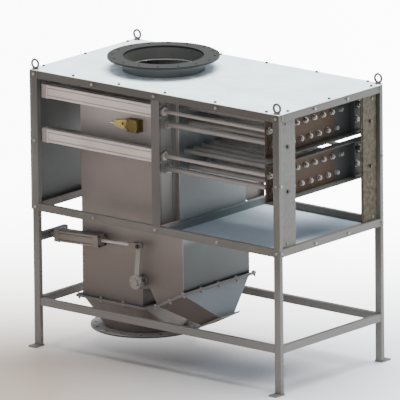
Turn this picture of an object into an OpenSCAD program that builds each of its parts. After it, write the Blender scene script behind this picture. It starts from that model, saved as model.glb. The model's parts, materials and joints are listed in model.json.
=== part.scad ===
// Dry magnetic separator: a tube frame that carries a rectangular gravity duct, two drawers of
// magnet cores that slide in and out of sealed tubes across the duct, and a diverter flap that
// sends the stream to the product hopper or to the reject chute.
// Millimetres. The machine is laid out from the outer face of the left legs (x), the front face
// of the front legs (y) and the floor (z); at() moves that layout to the middle of the footprint.

/* [Frame] */
// Length of the frame over its legs
frame_l = 1600; // [1400:10:2000]
// Width of the frame over its legs
frame_w = 820; // [680:10:1000]
// Height of the frame under the cover sheet
frame_h = 1427; // [1250:1:1750]
// Height of the drawer bays between middle and top rails
bay_h = 645; // [620:5:760]
// Wide side of the frame tube
tube_w = 40; // [30:1:50]
// Narrow side of the frame tube
tube_d = 25; // [20:1:30]
// Wall of the frame tube
tube_wall = 2.5; // [2:0.5:4]
// Height of the lower rails' undersides over the floor
lower_rail_z = 212; // [150:1:230]
// Thickness of the foot plates
foot_t = 8; // [6:1:12]
// Reach of a foot plate outside its leg
foot_reach = 44; // [35:1:60]
// Width that a foot plate stands past each side of its leg
foot_side = 5; // [0:1:12]
// Diameter of the anchor hole in each foot plate
anchor_d = 14; // [11:1:18]

/* [Panels] */
// Thickness of the cover sheet
cover_t = 3; // [2:0.5:5]
// Outside diameter of a lifting eye's ring
eye_od = 54; // [45:1:63]
// Inside diameter of a lifting eye's ring
eye_id = 30; // [25:1:35]
// Overhang of the cover past the legs
cover_lip = 5; // [0:1:10]
// Depth of the tray-shaped left end panel
end_panel_t = 12; // [8:1:20]
// Thickness of bent sheet parts
sheet_t = 3; // [2:0.5:4]
// Width of the two upright strips at the open right end
end_strip_w = 105; // [80:1:150]
// Gap between those strips and the legs
end_strip_gap = 14; // [5:1:30]
// Set-back of those strips from the legs' outer face
end_strip_back = 14; // [5:1:20]
// Width of the dividers' flanges that face the front and the back
divider_w = 54; // [45:1:65]
// Thickness of the dividers
divider_t = 4; // [3:0.5:6]
// Gap between the dividers and the duct's front and back walls
divider_gap = 29; // [10:1:35]
// Set-back of the dividers from the duct's right wall
divider_back = 20; // [14:1:40]

/* [Duct] */
// Left face of the duct from the left legs' outer face
duct_x = 196; // [150:1:230]
// Room between duct and frame at front and back
side_room = 150; // [140:1:180]
// Height of the product branch's mouth over the floor
mouth_z = 262; // [256:1:300]
// Length of the product branch's mouth
mouth_l = 394; // [360:1:410]
// Step by which the duct is longer under the middle rails than above them
branch_step = 18.5; // [8:0.5:24]
// Height of the saddle between the two branches
saddle_rise = 90; // [70:1:110]
// Further rise of the saddle's top to its crest
saddle_crest = 14; // [8:1:20]
// Length of the saddle's top
saddle_top_l = 46; // [35:1:60]
// Distance between the two branches' mouths
saddle_l = 98; // [85:1:115]
// Height of the reject branch's left lip over the mouth
reject_lip_rise = 19; // [10:1:30]
// Slope of the reject branch's mouth
reject_deg = 26.7; // [20:0.1:30]
// Width of the bolted rims around the branch mouths
rim_w = 25; // [20:1:30]
// Width of the reject branch's rim at its low end
rim_low_w = 9; // [6:1:15]
// Thickness of each bolted rim
rim_t = 6; // [4:1:8]

/* [Inlet and outlets] */
// Bore of the round inlet and of the round product outlet
pipe_d = 405; // [340:1:440]
// Width of their flanges
flange_w = 80; // [66:1:95]
// Thickness of all flanges
flange_t = 10; // [8:1:14]
// Number of bolts in each round flange
flange_bolts = 16; // [8:4:20]
// Distance of those bolts from the flange's edge
bolt_edge = 25; // [18:1:30]
// Diameter of the bolt holes in the round flanges
bolt_hole_d = 14; // [11:1:18]
// Height of the inlet collar under its flange
collar_h = 60; // [40:1:90]
// Height of the product outlet flange's underside over the floor
outlet_z = 86; // [60:1:105]
// Depth of the reject chute under its rim
chute_h = 168; // [140:1:202]
// Mouth of the reject chute along the slope
chute_l = 130; // [108:1:156]
// Mouth of the reject chute across the machine
chute_w = 100; // [80:1:160]
// Shift of that mouth up the slope
chute_shift = 19; // [0:1:25]
// Thickness of the reject chute's flange
chute_flange_t = 8; // [6:1:10]

/* [Magnet drawers] */
// Height of a drawer's end tray
tray_h = 196; // [163:1:222]
// Gap between the two end trays
tray_gap = 32; // [14:1:40]
// Distance from the drawn-out trays to the frame's right face
tray_front = 60; // [50:1:75]
// Depth of an end tray's rims
tray_rim = 50; // [40:1:60]
// Thickness of an end tray's sheet
tray_web = 4; // [3:0.5:6]
// Drop of the upper tray under the cover
tray_drop = 45; // [42:1:60]
// Gap between an end tray and the long rails
tray_side_gap = 5; // [5:1:15]
// Diameter of a magnet core
core_d = 25; // [20:0.5:30]
// Radial gap between a core and its tube
core_gap = 1; // [0.5:0.1:1.5]
// Wall of the sealed tubes
core_tube_wall = 1; // [0.8:0.1:1.5]
// Diameter of the stud that holds a core to its tray
stud_d = 12; // [8:1:16]
// Length of the studs and rod ends that stand out of a tray's web
stud_l = 18; // [12:1:24]
// Spacing of the cores in a row
core_pitch = 69; // [60:1:90]
// Distance between the two rows of cores in a drawer
row_gap = 87; // [70:1:95]
// Width kept free of cores at the front and back of the duct
core_margin = 40; // [30:1:60]
// Gap between the tips of the pushed-in cores and the duct's left wall
tip_gap = 5; // [5:1:15]
// Length of a drawn-out core that stays in its tube
core_engaged = 2; // [2:1:20]
// Length by which the tubes stand out of the duct's right wall
tube_proud = 8; // [3:1:12]
// Gap between those tube ends and a pushed-in drawer
stop_gap = 7; // [6:1:15]

/* [Drawer drive] */
// Bore of the drive cylinders
cyl_bore = 63; // [52:0.5:76]
// Wall of the drive cylinders' square section at its middle
cyl_wall = 6; // [5:0.5:8]
// Length of each cylinder cap
cyl_cap = 39; // [30:1:45]
// Length of a piston
piston_t = 30; // [20:1:32]
// Diameter of a piston rod
rod_d = 20; // [16:1:25]
// Diameter of a guide rod
guide_d = 28; // [22:1:34]
// Distance from the frame's outer face to the piston rods
rod_y = 55; // [50:1:60]
// Distance from the frame's outer face to the guide rods
guide_y = 84; // [70:1:90]
// Height of the piston rods over a tray's middle
rod_rise = 39; // [35:1:45]
// Drop of the guide rods under a tray's middle
guide_drop = 32; // [30:1:45]
// Length of the guide rods' bushes
bush_l = 44; // [35:1:50]

/* [Flap and actuator] */
// Height of the flap shaft over the saddle's crest
flap_rise = 35; // [28:1:45]
// Diameter of the flap shaft
shaft_d = 30; // [25:1:36]
// Gap between the flap and the duct's walls
flap_clear = 5; // [5:0.5:8]
// Gap between the upright flap and the lowest tubes
flap_top_gap = 34; // [20:1:60]
// Length of the lever from shaft to pin
lever_l = 190; // [155:1:230]
// Lean of the lever to the right of upright
lever_deg = 5.7; // [0:0.1:10]
// Thickness of the lever
lever_t = 10; // [8:1:14]
// Diameter of the lever's hub
hub_d = 72; // [60:1:80]
// Distance from the frame's front face to the lever's middle plane
lever_y = 102; // [95:1:105]
// Distance from the left legs' outer face to the actuator's rear pin
pivot_x = 58; // [55:1:70]
// Height of that pin over the floor
pivot_z = 566; // [530:1:600]
// Length of the actuator's bracket behind the front leg
bracket_l = 200; // [150:5:220]
// Bore of the actuator
act_bore = 50; // [40:1:56]
// Wall of the actuator's square section at its middle
act_wall = 7.5; // [5:0.5:8]
// Length of the actuator's barrel and caps
act_l = 288; // [260:1:300]
// Diameter of the actuator's rod
act_rod_d = 16; // [13:1:22]

/* [Hidden] */
$fn = 48;
bite = 1;
seam = 0.1;

// Layout frame
origin_x = (frame_l + max(cover_lip, foot_side) - end_panel_t) / 2;
origin_y = frame_w / 2;
module at(x = 0, y = 0, z = 0) translate([x - origin_x, y - origin_y, z]) children();
module both_sides() {
    children();
    mirror([0, 1, 0]) children();
}

// Frame levels
top_rail_z = frame_h - tube_w;
middle_top = top_rail_z - bay_h;
middle_rail_z = middle_top - tube_w;

// Duct and stroke: the duct and the room for the drawn-out drawers share the length
tray_x = frame_l - tray_front - tray_rim - tray_web;
top_l = (tray_x - duct_x - 2 * tube_proud + core_engaged - stop_gap + sheet_t + tip_gap) / 2;
top_end = duct_x + top_l;
duct_end = top_end + branch_step;
duct_w = frame_w - 2 * side_room;
duct_cx = (duct_x + duct_end) / 2;
core_l = top_l + tube_proud + stop_gap - sheet_t - tip_gap;
tray_mid_upper = frame_h - tray_drop - tray_h / 2;
tray_mid_lower = tray_mid_upper - tray_h - tray_gap;
core_tube_id = core_d + 2 * core_gap;
core_tube_od = core_tube_id + 2 * core_tube_wall;
core_count = floor((duct_w - 2 * core_margin) / core_pitch) + 1;
function row_ys(count) = [for (i = [0:count - 1]) frame_w / 2 + (i - (count - 1) / 2) * core_pitch];
function core_places(mid) = concat(
    [for (y = row_ys(core_count)) [y, mid + rod_rise]],
    [for (y = row_ys(core_count - 1)) [y, mid + rod_rise - row_gap]]);

// Round flanges
flange_d = pipe_d + 2 * flange_w;
flange_pcd = flange_d - 2 * bolt_edge;

// Reject branch
saddle_x = duct_x + mouth_l;
saddle_crest_z = mouth_z + saddle_rise + saddle_crest;
reject_x = saddle_x + saddle_l;
reject_lip_z = mouth_z + reject_lip_rise;
reject_span = duct_end - reject_x;
reject_end_z = reject_lip_z + reject_span * tan(reject_deg);
reject_cx = (reject_x + duct_end) / 2;
reject_cz = (reject_lip_z + reject_end_z) / 2;
reject_l = reject_span / cos(reject_deg);
saddle_path = [
    [saddle_x, mouth_z], [saddle_x, mouth_z + saddle_rise],
    [saddle_x + saddle_top_l, saddle_crest_z],
    [reject_x, reject_lip_z]
];

// Dividers that carry the drive cylinders
divider_x = top_end - divider_back;
divider_panel_in = 34;
cyl_w = cyl_bore + 2 * cyl_wall;
cyl_x = tube_w + 15;
cyl_l = divider_x - divider_t - cyl_x;
boss_d = rod_d + 25;
boss_l = 16;
bush_d = guide_d + 12;
bush_flange_d = bush_d + 8;
bush_flange_t = 8;
bush_out = 20;
guide_tail = 16;
piston_gap = 5;
piston_x = divider_x - divider_t - cyl_cap - piston_gap;
guide_x = divider_x + bush_out - bush_l - guide_tail;

// Flap and actuator
shaft_x = saddle_x;
flap_z = saddle_crest_z + flap_rise;
pin_d = 16;
tube_low_z = tray_mid_lower + rod_rise - row_gap - core_tube_od / 2;
flap_l = tube_low_z - flap_top_gap - flap_z;
blade_t = 6;
flap_lean = asin((top_end - sheet_t - flap_clear - blade_t - shaft_x) / flap_l);
bearing_d = shaft_d + 30;
bearing_l = 14;
hub_l = 28;
lever_w = 28;
eye_w = 32;
act_w = act_bore + 2 * act_wall;
pin_x = shaft_x + lever_l * sin(lever_deg);
pin_z = flap_z + lever_l * cos(lever_deg);
act_reach = norm([pin_x - pivot_x, pin_z - pivot_z]);
act_rise = atan2(pin_z - pivot_z, pin_x - pivot_x);

// A rectangular tube lying along x, y or z, from its low corner
module box_tube(size, along) {
    hole = [for (i = [0:2]) i == along ? size[i] + 2 * bite : size[i] - 2 * tube_wall];
    start = [for (i = [0:2]) i == along ? -bite : tube_wall];
    difference() {
        cube(size);
        translate(start) cube(hole);
    }
}

// A square section with round corners, centred
module round_square(w, r) {
    square([w, w - 2 * r], center = true);
    square([w - 2 * r, w], center = true);
    for (i = [-1, 1], j = [-1, 1]) translate([i * (w / 2 - r), j * (w / 2 - r)]) circle(r);
}

// Unit normal to the left of the step from a to b
function left_of(a, b) = [a[1] - b[1], b[0] - a[0]] / norm(b - a);
// Corner i of a path moved sideways by t, mitred
function moved(p, i, t) =
    let (n = len(p) - 1,
         before = left_of(p[max(i, 1) - 1], p[max(i, 1)]),
         after = left_of(p[min(i, n - 1)], p[min(i, n - 1) + 1]),
         mid = before + after)
    p[i] + t * mid * 2 / (mid * mid);

module front_legs() color("#8f8a84") legs(0);
module back_legs() color("#8f8a84") legs(frame_w - tube_d);
module legs(y) {
    for (x = [0, frame_l - tube_w])
        at(x, y, foot_t) box_tube([tube_w, tube_d, frame_h - foot_t], 2);
}

module foot_plates() color("#8f8a84") {
    for (x = [0, frame_l - tube_w]) both_sides() foot(x);
}
module foot(x) at(x - foot_side, -foot_reach, 0) {
    difference() {
        cube([tube_w + 2 * foot_side, foot_reach + tube_d, foot_t]);
        translate([tube_w / 2 + foot_side, foot_reach / 2, -bite])
            cylinder(d = anchor_d, h = foot_t + 2 * bite);
    }
}

module lower_long_rails() color("#97928c") long_rails(lower_rail_z);
module middle_long_rails() color("#97928c") long_rails(middle_rail_z);
module top_long_rails() color("#97928c") long_rails(top_rail_z);
module long_rails(z) both_sides()
    at(tube_w, 0, z) box_tube([frame_l - 2 * tube_w, tube_d, tube_w], 0);

module lower_end_rails() color("#a7a39d") end_rails(lower_rail_z);
module middle_end_rails() color("#a7a39d") end_rails(middle_rail_z);
module top_end_rails() color("#a7a39d") end_rails(top_rail_z);
module end_rails(z) {
    for (x = [0, frame_l - tube_d]) cross_rail(x, z);
}
module cross_rail(x, z) at(x, tube_d, z) box_tube([tube_d, frame_w - 2 * tube_d, tube_w], 1);
module middle_cross_rail() color("#a7a39d") cross_rail(top_end, middle_rail_z);

module top_cover() color("#e4e8ea") difference() {
    at(-cover_lip, -cover_lip, frame_h)
        cube([frame_l + 2 * cover_lip, frame_w + 2 * cover_lip, cover_t]);
    at(duct_cx, frame_w / 2, frame_h - bite) cylinder(d = pipe_d, h = cover_t + 2 * bite, $fn = 96);
}

module left_end_panel() color("#7b7672") {
    inset = 4;
    w = frame_w - 2 * inset;
    h = frame_h - middle_rail_z - 2 * inset;
    at(-end_panel_t, inset, middle_rail_z + inset) difference() {
        cube([end_panel_t, w, h]);
        translate([sheet_t, sheet_t, sheet_t]) cube([end_panel_t, w - 2 * sheet_t, h - 2 * sheet_t]);
    }
}

module right_end_strips() color("#a7a39d") both_sides()
    at(frame_l - end_strip_back - sheet_t, tube_d + end_strip_gap, middle_top)
        cube([sheet_t, end_strip_w, bay_h]);

// Floor of the right bay, flush with the rails' undersides
module bay_floor() color("#b4bcc2") {
    x = top_end + tube_d;
    at(x, tube_d, middle_rail_z) cube([frame_l - tube_d - x, frame_w - 2 * tube_d, sheet_t]);
}

module front_divider() color("#97928c") divider();
module back_divider() color("#97928c") mirror([0, 1, 0]) divider();
module divider() difference() {
    union() {
        at(divider_x - divider_panel_in, 0, middle_top) cube([divider_w, divider_t, bay_h]);
        at(divider_x - divider_t, divider_t, middle_top)
            cube([divider_t, side_room - divider_gap - divider_t, bay_h]);
    }
    for (mid = [tray_mid_upper, tray_mid_lower])
        at(divider_x - divider_t - bite, 0, mid) rotate([0, 90, 0]) {
            translate([-rod_rise, rod_y, 0]) cylinder(d = boss_d, h = divider_t + 2 * bite);
            translate([guide_drop, guide_y, 0]) cylinder(d = bush_d, h = divider_t + 2 * bite);
        }
}

module guide_bushes() color("#b9b6b0") both_sides()
    for (mid = [tray_mid_upper, tray_mid_lower])
        at(divider_x, guide_y, mid - guide_drop) rotate([0, 90, 0]) difference() {
            union() {
                translate([0, 0, bush_out - bush_l]) cylinder(d = bush_d, h = bush_l);
                cylinder(d = bush_flange_d, h = bush_flange_t);
            }
            translate([0, 0, bush_out - bush_l - bite])
                cylinder(d = guide_d + 0.4, h = bush_l + 2 * bite);
        }

module inlet_collar() color("#4c4a48") at(duct_cx, frame_w / 2, frame_h + cover_t)
    ring(pipe_d + 2 * sheet_t, pipe_d, collar_h);
module inlet_flange() color("#4c4a48")
    at(duct_cx, frame_w / 2, frame_h + cover_t + collar_h) round_flange();

module ring(od, id, h) difference() {
    cylinder(d = od, h = h, $fn = 96);
    translate([0, 0, -bite]) cylinder(d = id, h = h + 2 * bite, $fn = 96);
}
module round_flange() difference() {
    ring(flange_d, pipe_d, flange_t);
    for (i = [0:flange_bolts - 1]) rotate((i + 0.5) * 360 / flange_bolts)
        translate([flange_pcd / 2, 0, -bite]) cylinder(d = bolt_hole_d, h = flange_t + 2 * bite);
}

module lifting_eyes() color("#8c8883") both_sides()
    for (x = [tube_w / 2, frame_l - tube_w / 2]) at(x, tube_d / 2, frame_h + cover_t) {
        cylinder(d = eye_id, h = 6);
        translate([0, 0, eye_od / 2 + 1]) rotate([90, 0, 0])
            rotate_extrude() translate([(eye_od + eye_id) / 4, 0]) circle((eye_od - eye_id) / 4);
    }

// Outline of the duct's front and back walls, seen from the front
duct_outline = concat(
    [[duct_x, frame_h], [duct_x, mouth_z]], saddle_path, [[duct_end, reject_end_z],
    [duct_end, middle_rail_z], [top_end, middle_rail_z], [top_end, frame_h]]);
module duct_prism(y, w) at(0, y + w, 0) rotate([90, 0, 0]) linear_extrude(w) polygon(duct_outline);
module duct_wall(y) difference() {
    duct_prism(y, sheet_t);
    at(shaft_x, y + sheet_t + bite, flap_z) rotate([90, 0, 0])
        cylinder(d = shaft_d + 1, h = sheet_t + 2 * bite);
}
module duct_front_wall() color("#938c88") duct_wall(side_room);
module duct_back_wall() color("#938c88") duct_wall(frame_w - side_room - sheet_t);

module duct_side(x, z, top) at(x, side_room + sheet_t, z)
    cube([sheet_t, duct_w - 2 * sheet_t, top - z]);
module duct_left_wall() color("#8d8f8c") duct_side(duct_x, mouth_z, frame_h);
module duct_right_wall() color("#8d8f8c") {
    duct_side(duct_end - sheet_t, reject_end_z, middle_rail_z);
    difference() {
        duct_side(top_end - sheet_t, middle_rail_z, frame_h);
        for (mid = [tray_mid_upper, tray_mid_lower], p = core_places(mid))
            at(top_end - sheet_t - bite, p[0], p[1]) rotate([0, 90, 0])
                cylinder(d = core_tube_od, h = sheet_t + 2 * bite);
    }
}
module duct_saddle() color("#8d8f8c")
    at(0, frame_w - side_room - sheet_t, 0) rotate([90, 0, 0])
        linear_extrude(duct_w - 2 * sheet_t)
            polygon(concat(saddle_path, [for (i = [3:-1:0]) moved(saddle_path, i, sheet_t)]));

// Local frame of the sloping reject mouth: x up the slope, z out of the duct's side
module on_reject() at(reject_cx, frame_w / 2, reject_cz) rotate([0, -reject_deg, 0]) children();

// Bolted rims: one pair on the duct's two branches and one pair on what hangs under them. The
// mouths' cuts pass both faces of a joint, so that no skin is left between two rims.
module mouths() {
    at(duct_x, side_room, mouth_z - seam) cube([mouth_l, duct_w, 2 * seam]);
    on_reject() translate([-reject_l / 2, -duct_w / 2, -seam]) cube([reject_l, duct_w, 2 * seam]);
}
module product_rim(z) at(duct_x - rim_w, side_room - rim_w, mouth_z + z)
    cube([mouth_l + 2 * rim_w, duct_w + 2 * rim_w, rim_t]);
module reject_rim(z) on_reject() translate([-reject_l / 2 - rim_low_w, -duct_w / 2 - rim_w, z])
    cube([rim_low_w + reject_l + rim_w, duct_w + 2 * rim_w, rim_t]);
module duct_rims() color("#8f8a84") difference() {
    union() {
        product_rim(0);
        reject_rim(0);
    }
    duct_prism(side_room, duct_w);
    mouths();
}
module hopper_rim() color("#8f8a84") difference() {
    product_rim(-rim_t);
    hopper_solid(0);
    mouths();
}
module chute_rim() color("#8f8a84") difference() {
    reject_rim(-rim_t);
    chute_solid(0);
    mouths();
}

module core_tubes(mid) for (p = core_places(mid))
    at(duct_x + sheet_t, p[0], p[1]) rotate([0, 90, 0])
        ring(core_tube_od, core_tube_id, top_l - sheet_t + tube_proud);
module upper_core_tubes() color("#b7b5b0") core_tubes(tray_mid_upper);
module lower_core_tubes() color("#b7b5b0") core_tubes(tray_mid_lower);

// Hopper body from the square mouth to the round outlet, inset by t
module hopper_solid(t) hull() {
    at(duct_x + t, side_room + t, mouth_z - 0.1)
        cube([mouth_l - 2 * t, duct_w - 2 * t, 0.1]);
    at(duct_x + mouth_l / 2, frame_w / 2, outlet_z)
        cylinder(d = pipe_d + 2 * sheet_t - 2 * t, h = 0.1, $fn = 64);
}
module product_hopper() color("#8d8f8c") difference() {
    hopper_solid(0);
    hopper_solid(sheet_t);
}
module outlet_flange() color("#8f8a84") difference() {
    at(duct_x + mouth_l / 2, frame_w / 2, outlet_z) round_flange();
    hopper_solid(0);
}

module chute_solid(t) on_reject() hull() {
    translate([t - reject_l / 2, t - duct_w / 2, -0.1]) cube([reject_l - 2 * t, duct_w - 2 * t, 0.1]);
    translate([chute_shift + t - chute_l / 2, t - chute_w / 2, -chute_h])
        cube([chute_l - 2 * t, chute_w - 2 * t, 0.1]);
}
module reject_chute() color("#8a8b84") difference() {
    chute_solid(0);
    chute_solid(sheet_t);
}
module reject_flange() color("#6f6a68") difference() {
    on_reject() translate([chute_shift - chute_l / 2 - rim_w, -chute_w / 2 - rim_w, -chute_h])
        cube([chute_l + 2 * rim_w, chute_w + 2 * rim_w, chute_flange_t]);
    chute_solid(0);
}

// Magnet drawers, drawn out. The end tray is a channel, open at its ends, and each core, piston
// rod and guide rod shoulders against its web, with a stud through it.
module tray(mid) {
    w = frame_w - 2 * (tube_d + tray_side_gap);
    difference() {
        at(tray_x, frame_w / 2 - w / 2, mid - tray_h / 2) difference() {
            cube([tray_web + tray_rim, w, tray_h]);
            translate([tray_web, -bite, tray_web])
                cube([tray_rim + bite, w + 2 * bite, tray_h - 2 * tray_web]);
        }
        on_cores(mid) stud_hole();
        on_rods(mid) stud_hole();
        on_guides(mid) stud_hole();
    }
}
module stud_hole() translate([0, 0, -bite]) cylinder(d = stud_d, h = tray_web + 2 * bite);
module on_cores(mid) for (p = core_places(mid)) at(tray_x, p[0], p[1]) rotate([0, 90, 0]) children();
module on_rods(mid) both_sides() at(tray_x, rod_y, mid + rod_rise) rotate([0, 90, 0]) children();
module on_guides(mid) both_sides() at(tray_x, guide_y, mid - guide_drop) rotate([0, 90, 0]) children();
module studded_rod(d, l) {
    translate([0, 0, -l]) cylinder(d = d, h = l);
    cylinder(d = stud_d, h = tray_web + stud_l);
}
module upper_tray() color("#8b7a6c") tray(tray_mid_upper);
module lower_tray() color("#8b7a6c") tray(tray_mid_lower);

module cores(mid) on_cores(mid) {
    studded_rod(core_d, core_l - 3);
    translate([0, 0, -core_l]) cylinder(d1 = core_d - 6, d2 = core_d, h = 3);
}
module upper_cores() color("#c9c7c2") cores(tray_mid_upper);
module lower_cores() color("#c9c7c2") cores(tray_mid_lower);

module piston_rods(mid) on_rods(mid) {
    studded_rod(rod_d, tray_x - piston_x);
    translate([0, 0, piston_x - tray_x - piston_t]) cylinder(d = cyl_bore - 1, h = piston_t);
}
module upper_piston_rods() color("#dcdcda") piston_rods(tray_mid_upper);
module lower_piston_rods() color("#dcdcda") piston_rods(tray_mid_lower);

module guide_rods(mid) on_guides(mid) studded_rod(guide_d, tray_x - guide_x);
module upper_guide_rods() color("#a9a7a2") guide_rods(tray_mid_upper);
module lower_guide_rods() color("#a9a7a2") guide_rods(tray_mid_lower);

// Square profile cylinder with slots in each side, along z
module slotted_barrel(w, bore, l, cap, rod, boss, nose) difference() {
    union() {
        linear_extrude(cap) round_square(w, 6);
        translate([0, 0, l - cap]) linear_extrude(cap) round_square(w, 6);
        linear_extrude(l) difference() {
            round_square(w - 3, 9);
            for (a = [0:90:270]) rotate(a) for (y = [-1, 1])
                translate([w / 2 - 6, y * w / 4 - 2.5]) square([6, 5]);
        }
        cylinder(d = boss, h = l + nose);
    }
    translate([0, 0, cap]) cylinder(d = bore, h = l - 2 * cap);
    translate([0, 0, l - cap - bite]) cylinder(d = rod + 0.4, h = cap + nose + 2 * bite);
}
module drive_cylinder(mid) at(cyl_x, rod_y, mid + rod_rise) rotate([0, 90, 0])
    slotted_barrel(cyl_w, cyl_bore, cyl_l, cyl_cap, rod_d, boss_d, boss_l);
module front_upper_cylinder() color("#c4bdb8") drive_cylinder(tray_mid_upper);
module front_lower_cylinder() color("#c4bdb8") drive_cylinder(tray_mid_lower);
module back_upper_cylinder() color("#c4bdb8") mirror([0, 1, 0]) drive_cylinder(tray_mid_upper);
module back_lower_cylinder() color("#c4bdb8") mirror([0, 1, 0]) drive_cylinder(tray_mid_lower);

// Pneumatic vibrator on the duct's front wall: a plate, a block and a tapered nozzle
vib_x = duct_cx + 38;
vib_z = (tray_mid_upper + tray_mid_lower) / 2 + 27;
vib_w = 72;
vib_h = 65;
vib_plate_t = 6;
vib_depth = 34;
nozzle_l = 80;
nozzle_depth = 28;
module vibrator() color("#8f7c3c") at(vib_x, side_room - vib_plate_t, vib_z) {
    translate([-vib_w / 2 - 5, 0, -vib_h / 2]) cube([vib_w + 10, vib_plate_t, vib_h]);
    translate([-vib_w / 2, -vib_depth, -vib_h / 2]) cube([vib_w, vib_depth, vib_h]);
    translate([-vib_w / 2, -(vib_depth - nozzle_depth) / 2, 0]) rotate([90, 0, 0])
        linear_extrude(nozzle_depth) polygon([[0, -27], [0, 27], [-nozzle_l, 14], [-nozzle_l, -14]]);
}

module flap_bearings() color("#8f8a84") both_sides()
    at(shaft_x, side_room, flap_z) rotate([90, 0, 0]) difference() {
        cylinder(d = bearing_d, h = bearing_l);
        translate([0, 0, -bite]) cylinder(d = shaft_d + 0.4, h = bearing_l + 2 * bite);
    }

// Flap, leaning to close the reject branch
module flap_blade() color("#85827d")
    at(shaft_x, side_room + sheet_t + flap_clear, flap_z) rotate([0, flap_lean, 0]) difference() {
        translate([-blade_t / 2, 0, 0]) cube([blade_t, duct_w - 2 * (sheet_t + flap_clear), flap_l]);
        translate([0, -bite, 0]) rotate([-90, 0, 0]) cylinder(d = shaft_d, h = duct_w);
    }
shaft_start = lever_y - hub_l / 2 - 3;
shaft_end = frame_w - side_room + bearing_l + 10;
module flap_shaft() color("#a9a7a2") at(shaft_x, shaft_start, flap_z) rotate([-90, 0, 0])
    cylinder(d = shaft_d, h = shaft_end - shaft_start);
module flap_lever() color("#8f8a84") at(shaft_x, lever_y, flap_z) rotate([0, lever_deg, 0])
    rotate([90, 0, 0]) difference() {
        union() {
            translate([0, 0, -hub_l / 2]) cylinder(d = hub_d, h = hub_l);
            translate([-lever_w / 2, 0, -lever_t / 2]) cube([lever_w, lever_l, lever_t]);
            translate([0, lever_l, -lever_t / 2]) cylinder(d = eye_w, h = lever_t);
        }
        translate([0, 0, -hub_l / 2 - bite]) cylinder(d = shaft_d, h = hub_l + 2 * bite);
    }

// Bar behind the front left leg with two ears that hold the actuator's rear pin
ear_t = 6;
ear_gap = 22;
ear_w = 30;
module actuator_bracket() color("#4a4846") {
    at(tube_w - tube_d, tube_d, pivot_z - tube_w / 2) box_tube([tube_d, bracket_l, tube_w], 1);
    at(pivot_x, lever_y, pivot_z) {
        for (y = [-ear_gap / 2 - ear_t, ear_gap / 2]) translate([0, y, 0]) {
            translate([tube_w - pivot_x, 0, -ear_w / 2]) cube([pivot_x - tube_w, ear_t, ear_w]);
            rotate([-90, 0, 0]) cylinder(d = ear_w, h = ear_t);
        }
        rotate([90, 0, 0]) cylinder(d = pin_d, h = ear_gap + 2 * ear_t + 6, center = true);
    }
}

// Local frame of the actuator: x from the rear pin to the lever pin
act_back = 20;
act_cap = 32;
act_boss_d = act_rod_d + 20;
ram_x = act_back + act_l - act_cap - piston_gap;
module on_actuator() at(pivot_x, lever_y, pivot_z) rotate([0, -act_rise, 0]) children();
module actuator_barrel() color("#8f8985") on_actuator() difference() {
    union() {
        translate([act_back, 0, 0]) rotate([0, 90, 0])
            slotted_barrel(act_w, act_bore, act_l, act_cap, act_rod_d, act_boss_d, 2);
        rotate([90, 0, 0]) cylinder(d = ear_w, h = ear_gap - 2, center = true);
        translate([0, 1 - ear_gap / 2, -ear_w / 2]) cube([act_back + bite, ear_gap - 2, ear_w]);
    }
    rotate([90, 0, 0]) cylinder(d = pin_d + 0.6, h = ear_gap + 2, center = true);
}

// Piston, rod and the fork that holds the lever's eye, with a tapered shank
fork_gap = lever_t + 4;
fork_w = fork_gap + 16;
fork_l = 57;
fork_neck = 18;
fork_slot = 34;
shank_w = act_rod_d + 4;
module actuator_rod() color("#c9c7c2") on_actuator() {
    translate([ram_x, 0, 0]) rotate([0, 90, 0]) cylinder(d = act_rod_d, h = act_reach - fork_l - ram_x);
    translate([ram_x - 20, 0, 0]) rotate([0, 90, 0]) cylinder(d = act_bore - 1, h = 20);
    translate([act_reach, 0, 0]) difference() {
        rotate([90, 0, 0]) {
            cylinder(d = eye_w, h = fork_w, center = true);
            linear_extrude(fork_w, center = true) polygon([
                [0, -eye_w / 2], [0, eye_w / 2],
                [fork_neck - fork_l, eye_w / 2], [-fork_l, shank_w / 2],
                [-fork_l, -shank_w / 2], [fork_neck - fork_l, -eye_w / 2]]);
        }
        translate([-fork_slot, -fork_gap / 2, -eye_w]) cube([2 * fork_slot, fork_gap, 2 * eye_w]);
    }
}

front_legs();
back_legs();
foot_plates();
lower_long_rails();
lower_end_rails();
middle_long_rails();
middle_end_rails();
middle_cross_rail();
top_long_rails();
top_end_rails();
top_cover();
left_end_panel();
right_end_strips();
bay_floor();
front_divider();
back_divider();
guide_bushes();
inlet_collar();
inlet_flange();
lifting_eyes();
duct_front_wall();
duct_back_wall();
duct_left_wall();
duct_right_wall();
duct_saddle();
duct_rims();
hopper_rim();
chute_rim();
upper_core_tubes();
lower_core_tubes();
product_hopper();
outlet_flange();
reject_chute();
reject_flange();
upper_tray();
upper_cores();
upper_piston_rods();
upper_guide_rods();
lower_tray();
lower_cores();
lower_piston_rods();
lower_guide_rods();
front_upper_cylinder();
front_lower_cylinder();
back_upper_cylinder();
back_lower_cylinder();
vibrator();
flap_bearings();
flap_blade();
flap_shaft();
flap_lever();
actuator_bracket();
actuator_barrel();
actuator_rod();
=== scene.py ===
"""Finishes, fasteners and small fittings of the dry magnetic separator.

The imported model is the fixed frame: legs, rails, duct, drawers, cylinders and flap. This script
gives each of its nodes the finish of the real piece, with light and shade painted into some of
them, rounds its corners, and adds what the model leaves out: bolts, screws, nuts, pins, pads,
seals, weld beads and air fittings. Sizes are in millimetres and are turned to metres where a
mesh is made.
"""

import json
import logging
import math
from collections.abc import Iterable, Mapping, Sequence
from dataclasses import dataclass
from enum import Enum
from functools import cache
from itertools import count, product
from typing import Any

import bmesh
import bpy
from mathutils import Matrix, Vector

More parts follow.
